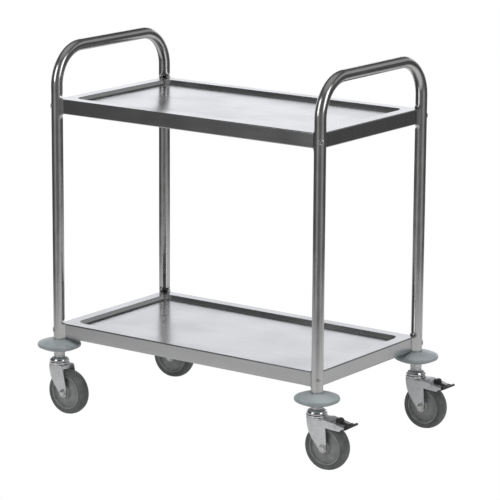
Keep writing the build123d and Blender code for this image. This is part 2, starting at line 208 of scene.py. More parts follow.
tyreLook = {
    "dark": rgb(0.098, 0.105, 0.101), "light": rgb(0.152, 0.161, 0.156), "rough": (0.46, 0.64),
    "grain": 800, "cloud": 70, "bump": 0.16,
}
pedalLook = {
    "dark": rgb(0.008, 0.008, 0.009), "light": rgb(0.020, 0.020, 0.022), "rough": (0.30, 0.46),
    "grain": 900, "cloud": 120, "bump": 0.12,
}
sleeveLook = {
    "dark": rgb(0.012, 0.012, 0.012), "light": rgb(0.030, 0.030, 0.030), "rough": (0.60, 0.75),
    "grain": 900, "cloud": 120, "bump": 0.12,
}


def tubeSteel():
    # drawn tube: fine lines along it, and broad soft patches left by the polishing belt
    finish = Finish("tubeSteel", {"Metallic": 1.0})
    along = finish.attribute("along")
    turn = finish.attribute("around") * (2 * math.pi)
    ring = joined(finish.tree, turn.math("COSINE", turn), turn.math("SINE", turn), along * 1.2)
    lines = finish.noise(ring, tubeLook["lines"], 4)
    belt = joined(finish.tree, turn.math("COSINE", turn) * 0.5, turn.math("SINE", turn) * 0.5, along * 14)
    patches = finish.noise(belt, tubeLook["patches"], 2)
    mix = (lines * 0.6 + patches * 0.4).step(0.35, 0.65)
    low, high = tubeLook["rough"]
    bump = finish.bump(lines, tubeLook["bump"], 0.0004)
    return finish.feed(colour=mixColour(finish.tree, mix, tubeLook["dark"], tubeLook["light"]),
                       roughness=patches.step(0.3, 0.7, low, high), normal=bump)


def sheetSteel():
    # satin sheet: brushing lines that follow the sheet over its folds, and a faint waviness
    finish = Finish("sheetSteel", {"Metallic": 1.0})
    where = finish.attribute("sheetPlace", "Vector")
    fine = finish.noise(where, 1.0, 3, 0.6, sheetLook["fine"])
    broad = finish.noise(where, 1.0, 3, 0.5, sheetLook["broad"])
    cloud = finish.noise(where, sheetLook["cloud"], 2)
    wave = finish.noise(where, sheetLook["wave"], 1)
    low, high = sheetLook["rough"]
    mix = (fine * 0.4 + broad * 0.3 + cloud * 0.3).step(0.34, 0.66)
    height = wave + fine * sheetLook["brushHeight"]
    return finish.feed(colour=mixColour(finish.tree, mix, sheetLook["dark"], sheetLook["light"]),
                       roughness=(fine * 0.4 + cloud * 0.6).step(0.3, 0.7, low, high),
                       normal=finish.bump(height, sheetLook["bump"], 0.003))


def platedMetal(name, look):
    # zinc, chrome or bright steel: crystals of the plating with a fine grain over them
    finish = Finish(name, {"Metallic": 1.0})
    where = finish.place()
    crystals = finish.noise(where, look["cloud"], 2)
    grains = finish.noise(where, look["grain"], 4, 0.65)
    low, high = look["rough"]
    mix = (crystals * 0.5 + grains * 0.5).step(0.38, 0.62)
    return finish.feed(colour=mixColour(finish.tree, mix, look["dark"], look["light"]),
                       roughness=grains.step(0.3, 0.7, low, high),
                       normal=finish.bump(grains, look["bump"], 0.0003))


def mouldedPlastic(name, look):
    # plastic or rubber: a fine moulded skin over soft clouds of colour
    finish = Finish(name, {"Metallic": 0.0})
    where = finish.place()
    skin = finish.noise(where, look["grain"], 3, 0.6)
    clouds = finish.noise(where, look["cloud"], 3)
    low, high = look["rough"]
    mix = (clouds * 0.7 + skin * 0.3).step(0.36, 0.64)
    return finish.feed(colour=mixColour(finish.tree, mix, look["dark"], look["light"]),
                       roughness=(skin * 0.5 + clouds * 0.5).step(0.3, 0.7, low, high),
                       normal=finish.bump(skin, look["bump"], 0.0004))


finishes = {
    "tube": tubeSteel(),
    "sheet": sheetSteel(),
    "zinc": platedMetal("forkZinc", zincLook),
    "chrome": platedMetal("raceChrome", chromeLook),
    "bolt": platedMetal("boltSteel", boltLook),
    "bumper": mouldedPlastic("bumperPlastic", bumperLook),
    "wheel": mouldedPlastic("wheelPlastic", wheelLook),
    "tyre": mouldedPlastic("tyreRubber", tyreLook),
    "pedal": mouldedPlastic("pedalPlastic", pedalLook),
    "sleeve": mouldedPlastic("sleeveRubber", sleeveLook),
}
print("finishes made:", len(finishes))


def newPiece(name, mesh, finish, body, nodes, sharp=38.0):
    piece = bpy.data.objects.new(name, mesh)
    bpy.context.scene.collection.objects.link(piece)
    mesh.materials.clear()
    mesh.materials.append(finishes[finish])
    mesh.shade_smooth()
    mesh.set_sharp_from_angle(angle=math.radians(sharp))
    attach(piece, body)
    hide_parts(*nodes)


def arc(centreR, centreH, radius, start, end, steps):
    # points of a round stretch of a profile, angles in degrees
    turns = [math.radians(start + (end - start) * i / steps) for i in range(steps + 1)]
    return [(centreR + radius * math.cos(t), centreH + radius * math.sin(t)) for t in turns]


def spun(profile, place, steps=72, closed=True):
    # solid of revolution about the local Z of place; a radius of 0 closes the solid at a pole
    bm = bmesh.new()
    rows = []
    for radius, height in profile:
        if radius == 0:
            rows.append([bm.verts.new((0, 0, height))])
            continue
        turns = [2 * math.pi * i / steps for i in range(steps)]
        rows.append([bm.verts.new((radius * math.cos(t), radius * math.sin(t), height)) for t in turns])
    pairs = list(zip(rows, rows[1:]))
    if closed:
        pairs.append((rows[-1], rows[0]))
    for low, high in pairs:
        for i in range(steps):
            j = (i + 1) % steps
            if len(low) == 1:
                bm.faces.new((low[0], high[j], high[i]))
            elif len(high) == 1:
                bm.faces.new((low[i], low[j], high[0]))
            else:
                bm.faces.new((low[i], low[j], high[j], high[i]))
    bmesh.ops.recalc_face_normals(bm, faces=bm.faces)
    bm.transform(place)
    mesh = bpy.data.meshes.new("spun")
    bm.to_mesh(mesh)
    bm.free()
    return mesh


def evaluated(piece):
    graph = bpy.context.evaluated_depsgraph_get()
    return bpy.data.meshes.new_from_object(piece.evaluated_get(graph))


softening = {"doubles": 2e-6, "flatAngle": 0.5, "edgeAngle": 30.0}


def softened(node, width, steps):
    # a copy of a CAD node with its doubles merged, its flats joined and its edges rounded
    mesh = frame["nodes"][node].data.copy()
    bm = bmesh.new()
    bm.from_mesh(mesh)
    bmesh.ops.remove_doubles(bm, verts=bm.verts, dist=softening["doubles"])
    flat = math.radians(softening["flatAngle"])
    bmesh.ops.dissolve_limit(bm, angle_limit=flat, verts=bm.verts, edges=bm.edges)
    bm.to_mesh(mesh)
    bm.free()
    carrier = bpy.data.objects.new("carrier", mesh)
    bpy.context.scene.collection.objects.link(carrier)
    bevel = carrier.modifiers.new("bevel", "BEVEL")
    bevel.width = width
    bevel.segments = steps
    bevel.limit_method = "ANGLE"
    bevel.angle_limit = math.radians(softening["edgeAngle"])
    bevel.use_clamp_overlap = True
    done = evaluated(carrier)
    bpy.data.objects.remove(carrier)
    return done


def newTree(name, inputs):
    tree = bpy.data.node_groups.new(name, "GeometryNodeTree")
    tree.interface.new_socket(name="Geometry", in_out="INPUT", socket_type="NodeSocketGeometry")
    for label, kind in inputs.items():
        tree.interface.new_socket(name=label, in_out="INPUT", socket_type="NodeSocket" + kind)
    tree.interface.new_socket(name="Geometry", in_out="OUTPUT", socket_type="NodeSocketGeometry")
    start = tree.nodes.new("NodeGroupInput")
    wires = {socket.name: Wire(tree, socket) for socket in start.outputs if socket.name}
    return tree, wires


def endTree(tree, geometry, material):
    plain = addNode(tree, "GeometryNodeRealizeInstances", None, {"Geometry": geometry})
    painted = addNode(tree, "GeometryNodeSetMaterial", None, {"Geometry": plain, "Material": material})
    end = tree.nodes.new("NodeGroupOutput")
    tree.links.new(painted.socket, end.inputs[0])


def grown(tree, values, base=None):
    # runs a geometry tree on a carrier object and returns the plain mesh that it makes
    carrier = bpy.data.objects.new("carrier", base or bpy.data.meshes.new("empty"))
    bpy.context.scene.collection.objects.link(carrier)
    modifier = carrier.modifiers.new("grow", "NODES")
    modifier.node_group = tree
    for item in tree.interface.items_tree:
        if item.in_out == "INPUT" and item.name in values:
            modifier[item.identifier] = values[item.name]
    done = evaluated(carrier)
    carrier.modifiers.remove(modifier)
    bpy.data.objects.remove(carrier)
    return done


hoopSizes = {
    "tubeRadius": 12.5 * mm, "bendRadius": 80 * mm, "ringSpacing": 3.2 * mm, "ringPoints": 56,
    "bendPoints": 24, "seatSlope": 9.5 * mm, "seatGap": 0.05 * mm, "flare": 0.38, "flareRun": 0.9,
}


def hoopTree():
    tree, given = newTree("hoopTube", {
        "Centre X": "Float", "Side": "Float", "Half Width": "Float", "Bottom": "Float", "Top": "Float",
        "Bend Radius": "Float", "Tube Radius": "Float", "Ring Spacing": "Float", "Ring Points": "Int",
        "Seat Slope": "Float", "Seat Gap": "Float", "Flare": "Float",
        "Upper Top": "Float", "Upper Bottom": "Float", "Lower Top": "Float", "Lower Bottom": "Float",
    })
    line = addNode(tree, "GeometryNodeMeshLine", None, {"Count": 4})
    index = addNode(tree, "GeometryNodeInputIndex")
    side = (index > 1.5) * 2 - 1
    high = (index > 0.5) * (index < 2.5)
    height = given["Bottom"] + (given["Top"] - given["Bottom"]) * high
    place = joined(tree, given["Centre X"], side * given["Half Width"], height)
    line = addNode(tree, "GeometryNodeSetPosition", None, {"Geometry": line, "Position": place})
    path = addNode(tree, "GeometryNodeMeshToCurve", None, {"Mesh": line})
    path = addNode(tree, "GeometryNodeFilletCurve", {"mode": "POLY"},
                   {"Curve": path, "Count": hoopSizes["bendPoints"], "Radius": given["Bend Radius"]})
    path = addNode(tree, "GeometryNodeResampleCurve", {"mode": "LENGTH"},
                   {"Curve": path, "Length": given["Ring Spacing"]})
    length = addNode(tree, "GeometryNodeSplineParameter", None, None, "Length")
    path = addNode(tree, "GeometryNodeStoreNamedAttribute", {"data_type": "FLOAT", "domain": "POINT"},
                   {"Geometry": path, "Name": "along", "Value": length})
    ring = addNode(tree, "GeometryNodeCurvePrimitiveCircle", {"mode": "RADIUS"},
                   {"Resolution": given["Ring Points"], "Radius": given["Tube Radius"]})
    turn = addNode(tree, "GeometryNodeSplineParameter", None, None, "Factor")
    ring = addNode(tree, "GeometryNodeStoreNamedAttribute", {"data_type": "FLOAT", "domain": "POINT"},
                   {"Geometry": ring, "Name": "around", "Value": turn})
    tube = addNode(tree, "GeometryNodeCurveToMesh", None,
                   {"Curve": path, "Profile Curve": ring, "Fill Caps": True})
    # the crimped seats: p and q point from the leg's centre into the shelf
    x, y, z = addNode(tree, "GeometryNodeInputPosition").parts()
    p = (given["Centre X"] - x) * given["Side"]
    q = given["Half Width"] - abs(y)
    slope = given["Seat Slope"]
    masks = []
    for level in ("Upper", "Lower"):
        top = given[level + " Top"]
        bottom = given[level + " Bottom"]
        masks.append(z.step(top + slope, top) * z.step(bottom - slope, bottom))
    mask = masks[0].atLeast(masks[1])
    # angle is 0 at the seat's middle, -1 and 1 at its ends
    angle = q.math("ARCTAN2", q, p) / math.radians(45) - 1
    off = abs(angle)
    off = off.atMost(8 - off)
    # the folded edges spread sideways along the fascias
    spread = (1 - (off - 1).atLeast(0) / hoopSizes["flareRun"]).atLeast(0)
    bulge = given["Flare"] * mask * spread * spread
    radius = given["Tube Radius"] * (1 + bulge)
    inside = (off < 1.0) * mask
    seatP = radius * (0 - angle).atLeast(0) - given["Seat Gap"]
    seatQ = radius * angle.atLeast(0) - given["Seat Gap"]
    newP = p * (1 + bulge) * (1 - inside) + seatP * inside
    newQ = q * (1 + bulge) * (1 - inside) + seatQ * inside
    sign = y.math("SIGN", y)
    moved = joined(tree, given["Centre X"] - newP * given["Side"], sign * (given["Half Width"] - newQ), z)
    tube = addNode(tree, "GeometryNodeSetPosition", None,
                   {"Geometry": tube, "Selection": mask > 0.0, "Position": moved})
    endTree(tree, tube, finishes["tube"])
    return tree


def makeHoops():
    tree = hoopTree()
    upperLow, upperHigh = boxOf("upper_shelf")
    lowerLow, lowerHigh = boxOf("lower_shelf")
    for side, node in ((-1, "hoop_left"), (1, "hoop_right")):
        low, high = boxOf(node)
        mesh = grown(tree, {
            "Centre X": (low.x + high.x) / 2, "Side": float(side), "Half Width": upperHigh.y,
            "Bottom": low.z, "Top": high.z - hoopSizes["tubeRadius"],
            "Bend Radius": hoopSizes["bendRadius"], "Tube Radius": hoopSizes["tubeRadius"],
            "Ring Spacing": hoopSizes["ringSpacing"], "Ring Points": hoopSizes["ringPoints"],
            "Seat Slope": hoopSizes["seatSlope"], "Seat Gap": hoopSizes["seatGap"],
            "Flare": hoopSizes["flare"],
            "Upper Top": upperHigh.z, "Upper Bottom": upperLow.z,
            "Lower Top": lowerHigh.z, "Lower Bottom": lowerLow.z,
        })
        newPiece(node + "_tube", mesh, "tube", "frame", [node], sharp=50)
    print("hoops made")


makeHoops()


traySizes = {
    "sheet": 1.2 * mm, "height": 32 * mm, "hem": 12 * mm, "rim": 27 * mm, "depth": 8 * mm,
    "wallRun": 5 * mm, "edgeRadius": 2.2 * mm, "innerEdge": 1.6 * mm, "floorFillet": 2.4 * mm,
    "openingCorner": 18 * mm, "outerCorner": 1.2 * mm, "holdLine": 0.5 * mm,
    "hemSteps": 4, "edgeSteps": 5, "cornerSteps": 10, "sideSteps": 12,
}


def trayRings():
    # rings from hem to floor: inset from the outside, height over the rim, corner radius, folded length
    s = traySizes
    height = s["height"]
    edge = s["edgeRadius"]
    outer = s["outerCorner"]
    hold = s["holdLine"]
    rings = [
        (s["hem"], -height, outer, height + s["hem"]), (edge + hold, -height, outer, height),
        (edge, -height, outer, height),
    ]
    steps = s["hemSteps"]
    for i in range(1, steps + 1):
        a = math.radians(90 * i / steps)
        rings.append((edge - edge * math.sin(a), -height + edge * (1 - math.cos(a)), outer,
                      height - edge * i / steps))
    rings += [
        (0, -height + edge + hold, outer, height - edge - hold), (0, -edge - hold, outer, edge + hold),
    ]
    steps = s["edgeSteps"]
    for i in range(steps + 1):
        a = math.radians(90 * i / steps)
        fold = edge * (1 - i / steps)
        rings.append((edge * (1 - math.cos(a)), -edge * (1 - math.sin(a)), outer, fold))
    slope = math.atan2(s["depth"], s["wallRun"])
    inner = s["innerEdge"]
    start = s["rim"] - inner * math.tan(slope / 2)
    opening = s["openingCorner"]
    rings += [(edge + hold, 0, outer, 0), (start - hold, 0, opening, 0)]
    for i in range(steps + 1):
        a = slope * i / steps
        run = start + inner * math.sin(a)
        rings.append((run, -inner * (1 - math.cos(a)), opening - (run - start), 0))
    fillet = s["floorFillet"]
    foot = s["rim"] + s["wallRun"] + fillet * math.tan(slope / 2)
    for i in range(steps, -1, -1):
        a = slope * i / steps
        run = foot - fillet * math.sin(a)
        rings.append((run, -s["depth"] + fillet * (1 - math.cos(a)), opening - (run - start), 0))
    rings.append((foot + hold, -s["depth"], rings[-1][2], 0))
    return rings


def trayMesh(node):
    # sheetPlace says where each point lies on the unfolded sheet, for the brushing lines
    low, high = boxOf(node)
    centre = (low + high) / 2
    halfX = (high.x - low.x) / 2
    halfY = (high.y - low.y) / 2
    steps = traySizes["cornerSteps"]
    sides = traySizes["sideSteps"]
    bm = bmesh.new()
    rows = []
    sheetPlace = []
    for inset, height, radius, fold in trayRings():
        row = []
        inX = halfX - inset - radius
        inY = halfY - inset - radius
        for number, (sx, sy) in enumerate(((1, 1), (-1, 1), (-1, -1), (1, -1))):
            for i in range(steps + 1):
                a = math.radians(90 * number + 90 * i / steps)
                x = sx * inX + radius * math.cos(a)
                y = sy * inY + radius * math.sin(a)
                row.append((x, y, abs(math.cos(a)) * fold * sx, abs(math.sin(a)) * fold * sy))
            ex, ey = ((-1, 1), (-1, -1), (1, -1), (1, 1))[number]
            a = math.radians(90 * number + 90)
            nx = ex * inX + radius * math.cos(a)
            ny = ey * inY + radius * math.sin(a)
            x0, y0, fx, fy = row[-1]
            for i in range(1, sides):
                t = i / sides
                row.append((x0 + (nx - x0) * t, y0 + (ny - y0) * t, fx, fy))
        verts = []
        for x, y, fx, fy in row:
            verts.append(bm.verts.new((centre.x + x, centre.y + y, high.z + height)))
            sheetPlace.append((x + fx, y + fy, high.z))
        rows.append(verts)
    for outerRow, innerRow in zip(rows, rows[1:]):
        count = len(outerRow)
        for i in range(count):
            j = (i + 1) % count
            bm.faces.new((outerRow[i], outerRow[j], innerRow[j], innerRow[i]))
    bm.faces.new(rows[-1])
    mesh = bpy.data.meshes.new(node)
    bm.to_mesh(mesh)
    bm.free()
    layer = mesh.attributes.new("sheetPlace", "FLOAT_VECTOR", "POINT")
    layer.data.foreach_set("vector", [value for place in sheetPlace for value in place])
    carrier = bpy.data.objects.new("carrier", mesh)
    bpy.context.scene.collection.objects.link(carrier)
    wall = carrier.modifiers.new("wall", "SOLIDIFY")
    wall.thickness = traySizes["sheet"]
    wall.offset = -1
    done = evaluated(carrier)
    bpy.data.objects.remove(carrier)
    return done


for shelfNode in ("upper_shelf", "lower_shelf"):
    newPiece(shelfNode + "_tray", trayMesh(shelfNode), "sheet", "frame", [shelfNode], sharp=40)
print("trays made")


boltSizes = {
    "headRadius": 5.6 * mm, "headHeight": 2.2 * mm, "rimShare": 0.55, "shankRadius": 3 * mm,
    "recessArm": 2.9 * mm, "recessWidth": 0.75 * mm, "recessDepth": 1.15 * mm, "recessSlope": 0.6,
    "drop": 15 * mm, "inside": 26.5 * mm, "seat": 0.6 * mm,
}


def boltMesh():
    # pan head along +X from the leg's outside, domed, with a cross recess sunk into it
    s = boltSizes
    bm = bmesh.new()
    steps = 48
    radii = [0.0, 0.6, 1.2, 1.8, 2.4, 3.0, 3.6, 4.2, 4.8, 5.2, 5.45, 5.6, 5.6]
    full = radii[-1]
    rows = []
    for number, r in enumerate(radii):
        radius = s["headRadius"] * r / full
        rim = s["rimShare"]
        dome = s["headHeight"] * (rim + (1 - rim) * math.sqrt(max(0.0, 1 - (r / full) ** 2)))
        if number == len(radii) - 1:
            dome = 0.0
        row = []
        for i in range(steps if r else 1):
            a = 2 * math.pi * i / steps
            y = radius * math.cos(a)
            z = radius * math.sin(a)
            near = min(abs(y), abs(z))
            far = max(abs(y), abs(z))
            sunk = 0.0
            if near < s["recessWidth"] and far < s["recessArm"] and number < len(radii) - 2:
                sunk = s["recessDepth"] * (1 - s["recessSlope"] * far / s["recessArm"])
            row.append(bm.verts.new((dome - sunk, y, z)))
        rows.append(row)
    back = s["shankRadius"] / s["headRadius"]
    rows.append([bm.verts.new((0, v.co.y * back, v.co.z * back)) for v in rows[-1]])
    tip = s["seat"] - hoopSizes["tubeRadius"] - s["inside"]
    rows.append([bm.verts.new((tip, v.co.y, v.co.z)) for v in rows[-1]])
    for i in range(steps):
        j = (i + 1) % steps
        bm.faces.new((rows[0][0], rows[1][i], rows[1][j]))
    for a, b in zip(rows[1:], rows[2:]):
        for i in range(steps):
            j = (i + 1) % steps
            bm.faces.new((a[i], b[i], b[j], a[j]))
    bm.faces.new(rows[-1])
    bmesh.ops.recalc_face_normals(bm, faces=bm.faces)
    mesh = bpy.data.meshes.new("bolt")
    bm.to_mesh(mesh)
    bm.free()
    return mesh


def boltTree():
    # a two by two grid at the lower shelf, copied up to the upper shelf, each bolt turned outwards
    tree, given = newTree("shelfBolts", {
        "Centre": "Vector", "Length": "Float", "Width": "Float", "Rise": "Float", "Standing": "Float",
    })
    grid = addNode(tree, "GeometryNodeMeshGrid", None, {
        "Size X": given["Length"], "Size Y": given["Width"], "Vertices X": 2, "Vertices Y": 2,
    })
    grid = addNode(tree, "GeometryNodeTransform", None,
                   {"Geometry": grid, "Translation": given["Centre"]})
    lift = joined(tree, 0.0, 0.0, given["Rise"])
    upper = addNode(tree, "GeometryNodeTransform", None, {"Geometry": grid, "Translation": lift})
    both = tree.nodes.new("GeometryNodeJoinGeometry")
    tree.links.new(grid.socket, both.inputs[0])
    tree.links.new(upper.socket, both.inputs[0])
    x, y = addNode(tree, "GeometryNodeInputPosition").parts()[:2]
    cx, cy = given["Centre"].parts()[:2]
    angle = y.math("ARCTAN2", y - cy, x - cx)
    eighth = math.radians(45)
    quarter = math.radians(90)
    turn = (angle / quarter).math("FLOOR", angle / quarter) * quarter + eighth
    out = given["Standing"]
    outward = joined(tree, turn.math("COSINE", turn) * out, turn.math("SINE", turn) * out, 0.0)
    stored = addNode(tree, "GeometryNodeStoreNamedAttribute", {"data_type": "FLOAT", "domain": "POINT"},
                     {"Geometry": Wire(tree, both.outputs[0]), "Name": "turn", "Value": turn})
    points = addNode(tree, "GeometryNodeSetPosition", None, {"Geometry": stored, "Offset": outward})
    named = addNode(tree, "GeometryNodeInputNamedAttribute", {"data_type": "FLOAT"}, {"Name": "turn"})
    rotation = joined(tree, 0.0, 0.0, named)
    bolts = addNode(tree, "GeometryNodeInstanceOnPoints", None,
                    {"Points": points, "Instance": given["Geometry"], "Rotation": rotation})
    endTree(tree, bolts, finishes["bolt"])
    return tree


def makeBolts():
    upperLow, upperHigh = boxOf("upper_shelf")
    lowerLow, lowerHigh = boxOf("lower_shelf")
    centre = (lowerLow + lowerHigh) / 2
    centre.z = lowerHigh.z - boltSizes["drop"]
    mesh = grown(boltTree(), {
        "Centre": centre, "Length": upperHigh.x - upperLow.x, "Width": upperHigh.y - upperLow.y,
        "Rise": upperHigh.z - lowerHigh.z, "Standing": hoopSizes["tubeRadius"] - boltSizes["seat"],
    }, boltMesh())
    newPiece("shelf_bolts_set", mesh, "bolt", "frame", ["shelf_bolts"], sharp=32)
    print("bolts made")


makeBolts()


bumperSizes = {
    "bore": 12.52 * mm, "lip": 0.8 * mm, "shoulder": 30 * mm, "top": 9.8 * mm, "bottom": 10.8 * mm,
    "rim": 4.5 * mm, "rimDepth": 3 * mm, "faceSteps": 18, "rimSteps": 6,
}


def bumperFace(radius, half, shoulder):
    # one face of the disc from the bore out to the rim, heights measured from its middle
    s = bumperSizes
    bore = s["bore"]
    middle = s["shoulder"]
    edge = radius - s["rimDepth"]
    points = [(bore, half - s["lip"])]
    steps = s["faceSteps"]
    for i in range(1, steps + 1):
        # a parabola through the bore, the shoulder and the rim
        r = bore + (edge - bore) * i / steps
        points.append((r, half * (r - middle) * (r - edge) / ((bore - middle) * (bore - edge))
                       + shoulder * (r - bore) * (r - edge) / ((middle - bore) * (middle - edge))
                       + s["rim"] * (r - bore) * (r - middle) / ((edge - bore) * (edge - middle))))
    for i in range(1, s["rimSteps"] + 1):
        a = math.radians(90 * i / s["rimSteps"])
        points.append((edge + s["rimDepth"] * math.sin(a), s["rim"] * math.cos(a)))
    return points


def bumperProfile(radius, half):
    upper = bumperFace(radius, half, bumperSizes["top"])
    lower = bumperFace(radius, half, bumperSizes["bottom"])
    return [(r, -h) for r, h in lower] + upper[-2::-1]


def makeBumpers():
    for corner in corners:
        low, high = boxOf("bumper_" + corner)
        centre = (low + high) / 2
        profile = bumperProfile((high.y - low.y) / 2, (high.z - low.z) / 2)
        mesh = spun(profile, Matrix.Translation(centre), 112)
        newPiece("bumper_disc_" + corner, mesh, "bumper", "frame", ["bumper_" + corner], sharp=50)
    print("bumpers made")


makeBumpers()


def casterPlaces(corner):
    # the swivel's frame on the floor under the leg, with X along the trail, and the axle's frame
    leg = Vector(joints["swivel_" + corner]["pos_m"])
    axle = Vector(joints["wheel_spin_" + corner]["pos_m"])
    turn = Matrix.Rotation(math.atan2(axle.y - leg.y, axle.x - leg.x), 4, "Z")
    swivel = Matrix.Translation((leg.x, leg.y, 0)) @ turn
    across = Matrix.Translation(axle) @ turn @ Matrix.Rotation(math.radians(-90), 4, "X")
    return swivel, across


raceSizes = {
    "bore": 6.2 * mm, "domeDepth": 8.9 * mm, "cupEdge": 1.6 * mm, "ringEdge": 1.8 * mm,
    "ringTop": 0.5 * mm, "domeSteps": 16,
}


def raceMesh(node, place, domed):
    # the fixed cup is domed from the collar outwards, the turning ring is rounded under its rim
    low, high = boxOf(node)
    s = raceSizes
    radius = (high.y - low.y) / 2
    height = high.z - low.z
    if domed:
        edge = s["cupEdge"]
        profile = [(s["bore"], 0)] + arc(radius - edge, edge, edge, -90, 0, 6)
        crown = hoopSizes["tubeRadius"]
        for i in range(s["domeSteps"] + 1):
            a = math.radians(90 * i / s["domeSteps"])
            profile.append((crown + (radius - crown) * math.cos(a),
                            height - s["domeDepth"] * (1 - math.sin(a))))
    else:
        edge = s["ringEdge"]
        profile = [(s["bore"], 0)] + arc(radius - edge, edge, edge, -90, 0, 6)
        profile += arc(radius - s["ringTop"], height - s["ringTop"], s["ringTop"], 0, 90, 4)
    profile.append((s["bore"], height))
    return spun(profile, place @ Matrix.Translation((0, 0, low.z)), 80)


stemSizes = {
    "flange": 9 * mm, "flangeEdge": 1 * mm, "flangeHeight": 2.7 * mm, "kingpin": 6 * mm, "pin": 5 * mm,
    "bottomEdge": 0.5 * mm, "topEdge": 0.4 * mm, "groove": 1.4 * mm, "grooveHeight": 1.8 * mm,
    "grooveFloor": 0.6,
}


def stemMesh(node, place):
    # kingpin with its flange, the collar under the tube and the pin that goes up into it
    low, high = boxOf(node)
    s = stemSizes
    bottom = boxOf("upper_race_front_left")[1].z
    top = boxOf("hoop_left")[0].z
    middle = (bottom + top) / 2
    radius = hoopSizes["tubeRadius"]
    groove = radius - s["groove"]
    half = s["grooveHeight"] / 2
    floor = half * s["grooveFloor"]
    flange = low.z + s["flangeHeight"]
    profile = [
        (0, low.z), (s["flange"] - s["flangeEdge"], low.z), (s["flange"], low.z + s["flangeEdge"]),
        (s["flange"], flange), (s["kingpin"], flange), (s["kingpin"], bottom),
        (radius - s["bottomEdge"], bottom), (radius, bottom + s["bottomEdge"]), (radius, middle - half),
        (groove, middle - floor), (groove, middle + floor), (radius, middle + half),
        (radius, top - s["topEdge"]), (radius - s["topEdge"], top), (s["pin"], top), (s["pin"], high.z),
        (0, high.z),
    ]
    return spun(profile, place, closed=False)


wheelSizes = {
    "wheelRadius": 50 * mm, "coreRadius": 38 * mm, "coreHalf": 12.5 * mm,
    "coreEdge": (0.4 * mm, 0.3 * mm), "lip": 3 * mm, "lipRound": 0.9 * mm, "channelDepth": 6.5 * mm,
    "channelWall": 2.6 * mm, "channelRun": 4.5 * mm, "cove": 1.4 * mm, "dishRise": 3 * mm,
    "dishSteps": 8, "dishEnd": 3 * mm,
    "hubRadius": 12.5 * mm, "hubHalf": 16.5 * mm, "hubCove": 1.6 * mm, "hubRound": 1.2 * mm,
    "bore": 6.08 * mm, "boreEdge": 0.6 * mm,
}
tyreSizes = {
    "half": 14 * mm, "crown": 2.21 * mm, "seam": 0.12 * mm, "shoulder": 3.4 * mm,
    "shoulderSet": 0.1 * mm, "treadSteps": 14,
    "wall": ((5.2 * mm, 0), (3.2 * mm, 0.25 * mm), (1.0 * mm, 1.1 * mm), (0.1 * mm, 1.7 * mm)),
}


def coreMesh(place):
    # from the seat of the tyre over the lip, down into the channel and over the dish to the hub
    s = wheelSizes
    half = s["coreHalf"]
    cove = s["cove"]
    lowFloor = half - s["channelDepth"]
    lip = s["coreRadius"] - s["lip"]
    hub = s["hubRadius"]
    rise = lowFloor + s["dishRise"]
    inset, fall = s["coreEdge"]
    side = [(s["coreRadius"], half - fall), (s["coreRadius"] - inset, half)]
    side += arc(lip + s["lipRound"], half - s["lipRound"], s["lipRound"], 90, 170, 5)
    side += [(lip - s["lipRound"], lowFloor + cove)]
    side += arc(lip - s["channelWall"], lowFloor + cove, cove, -20, -90, 5)
    channelEnd = lip - s["channelRun"]
    for i in range(1, s["dishSteps"] + 1):
        t = i / s["dishSteps"]
        r = channelEnd + (hub + s["dishEnd"] - channelEnd) * t
        side.append((r, lowFloor + s["dishRise"] * (3 * t * t - 2 * t * t * t)))
    side += arc(hub + s["hubCove"], rise + cove, cove, -90, -170, 5)
    side += arc(hub - s["hubRound"], s["hubHalf"] - s["hubRound"], s["hubRound"], 0, 90, 5)
    side.append((s["bore"] + s["boreEdge"], s["hubHalf"]))
    side.append((s["bore"], s["hubHalf"] - s["boreEdge"]))
    return spun(side + [(r, -h) for r, h in reversed(side)], place, 96)


def tyreMesh(place):
    s = tyreSizes
    half = s["half"]
    shoulder = s["shoulder"]
    inner = wheelSizes["coreRadius"]
    side = []
    for i in range(s["treadSteps"] + 1):     # tread: a shallow crown, a moulding seam at its middle
        t = i / s["treadSteps"]
        seam = s["seam"] if i == 0 else 0.0
        side.append((wheelSizes["wheelRadius"] - seam - s["crown"] * t * t, (half - shoulder) * t))
    edge = side[-1]
    side += arc(edge[0] - shoulder, edge[1] - s["shoulderSet"], shoulder, 12, 84, 8)
    side += [(inner + out, half - fall) for out, fall in s["wall"]]
    return spun([(r, -h) for r, h in reversed(side[1:])] + side, place, 112)


# CAD nodes that keep their shape with rounded edges: piece, edge, bevel steps, finish, body, slot
forkParts = {
    "fork": ("fork_shape", 0.7 * mm, 2, "zinc", "caster", None),
    "axle_bolt": ("axle_bolt_shape", 0.6 * mm, 2, "bolt", "caster", None),
    "axle_nut": ("axle_nut_shape", 0.6 * mm, 2, "bolt", "caster", None),
}
brakeParts = {
    "brake_lever": ("brake_plate", 0.4 * mm, 2, "zinc", "brake", None),
    "pedal_cap": ("pedal", 0.6 * mm, 3, "pedal", "brake", None),
    "lever_pin": ("lever_rivet", 0.4 * mm, 2, "zinc", "caster", "stem"),
}


def makeSoftened(parts, corner):
    for node, (piece, edge, steps, finish, body, slot) in parts.items():
        mesh = softened(node + "_" + corner, edge, steps)
        newPiece(piece + "_" + corner, mesh, finish, body + "_" + corner, [node + "_" + corner])


